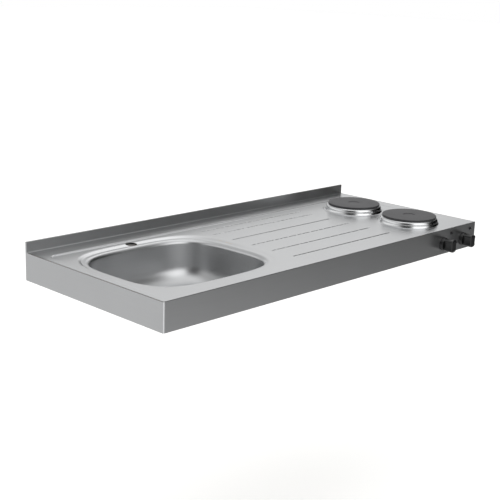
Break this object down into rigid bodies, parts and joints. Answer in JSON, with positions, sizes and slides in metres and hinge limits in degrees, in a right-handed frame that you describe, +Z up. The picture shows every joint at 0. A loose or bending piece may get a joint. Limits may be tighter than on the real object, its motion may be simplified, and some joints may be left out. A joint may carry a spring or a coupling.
{
  "type": "kitchenette unit with sink and hob",
  "caption": "Stainless kitchenette top: pressed sink bowl with basket strainer waste, ribbed drainer, two cast iron hotplates with front rotary controls, and a rear upstand.",
  "frame": {"origin": "middle of the footprint on the plane of the cabinet tops, at the underside of the middle bearer", "axes": "+X from the bowl end to the hob end, +Y to the wall, +Z up"},
  "size_m": [1.4, 0.6418, 0.222],
  "materials": {
    "deck_steel": "cold-rolled stainless sheet with a satin finish brushed along the length",
    "apron_steel": "folded stainless sheet with a satin finish brushed along the length",
    "bowl_steel": "deep-drawn stainless, polished in circles after drawing",
    "polished_steel": "spun stainless, buffed bright",
    "zinc_steel": "zinc-plated mild steel",
    "cast_iron": "grey cast iron, turned face, blackened",
    "steatite": "fired steatite ceramic, unglazed",
    "phenolic": "moulded black phenolic, semi-gloss",
    "switch_plastic": "moulded glass-filled nylon, matt",
    "lamp_lens": "tinted acrylic, dark while off",
    "pine": "planed pine, unfinished",
    "white_plastic": "moulded white polypropylene",
    "black_rubber": "moulded nitrile rubber",
    "brass": "turned brass",
    "sleeve_brown": "braided glass-fibre sleeve",
    "sleeve_black": "braided glass-fibre sleeve, black"
  },
  "bodies": {
    "worktop": {"deck_sheet": "deck_steel", "front_apron": "apron_steel", "rear_upstand": "apron_steel", "left_end_apron": "apron_steel", "right_end_apron": "apron_steel", "left_bearer": "pine", "bowl_bearer": "pine", "middle_bearer": "pine", "hob_bearer": "pine", "right_bearer": "pine", "sink_bowl": "bowl_steel", "tap_plate": "zinc_steel", "waste_cup": "polished_steel", "waste_top_seal": "black_rubber", "waste_under_seal": "black_rubber", "waste_locknut": "white_plastic", "front_hotplate": "cast_iron", "front_spill_ring": "polished_steel", "front_element": "steatite", "front_base_cover": "zinc_steel", "front_clamp_stud": "zinc_steel", "front_clamp_bridge": "zinc_steel", "front_clamp_nut": "zinc_steel", "front_plate_terminal": "steatite", "rear_hotplate": "cast_iron", "rear_spill_ring": "polished_steel", "rear_element": "steatite", "rear_base_cover": "zinc_steel", "rear_clamp_stud": "zinc_steel", "rear_clamp_bridge": "zinc_steel", "rear_clamp_nut": "zinc_steel", "rear_plate_terminal": "steatite", "left_switch": "switch_plastic", "left_lamp_lens": "lamp_lens", "left_lamp_body": "switch_plastic", "right_switch": "switch_plastic", "right_lamp_lens": "lamp_lens", "right_lamp_body": "switch_plastic", "switch_screws": "zinc_steel", "hob_tray": "zinc_steel", "tray_screws": "zinc_steel", "mains_terminal": "steatite", "earth_stud": "brass", "cable_gland": "switch_plastic", "gland_locknut": "switch_plastic", "front_loom": "sleeve_brown", "rear_loom": "sleeve_brown", "mains_loom": "sleeve_black", "switch_link": "sleeve_black", "left_lamp_lead": "sleeve_brown", "right_lamp_lead": "sleeve_brown"},
    "left_control": {"left_knob": "phenolic", "left_spindle": "zinc_steel"},
    "right_control": {"right_knob": "phenolic", "right_spindle": "zinc_steel"},
    "strainer": {"strainer_basket": "polished_steel", "basket_stopper": "black_rubber", "basket_knob": "polished_steel"}
  },
  "joints": [
    {"name": "left_knob_turn", "type": "hinge", "parent": "worktop", "child": "left_control", "pos_m": [0.514, -0.3, 0.0335], "axis": [0, -1, 0], "continuous": true},
    {"name": "right_knob_turn", "type": "hinge", "parent": "worktop", "child": "right_control", "pos_m": [0.626, -0.3, 0.0335], "axis": [0, -1, 0], "continuous": true},
    {"name": "strainer_lift", "type": "slide", "parent": "worktop", "child": "strainer", "axis": [0, 0, 1], "range_m": [0, 0.06]}
  ]
}
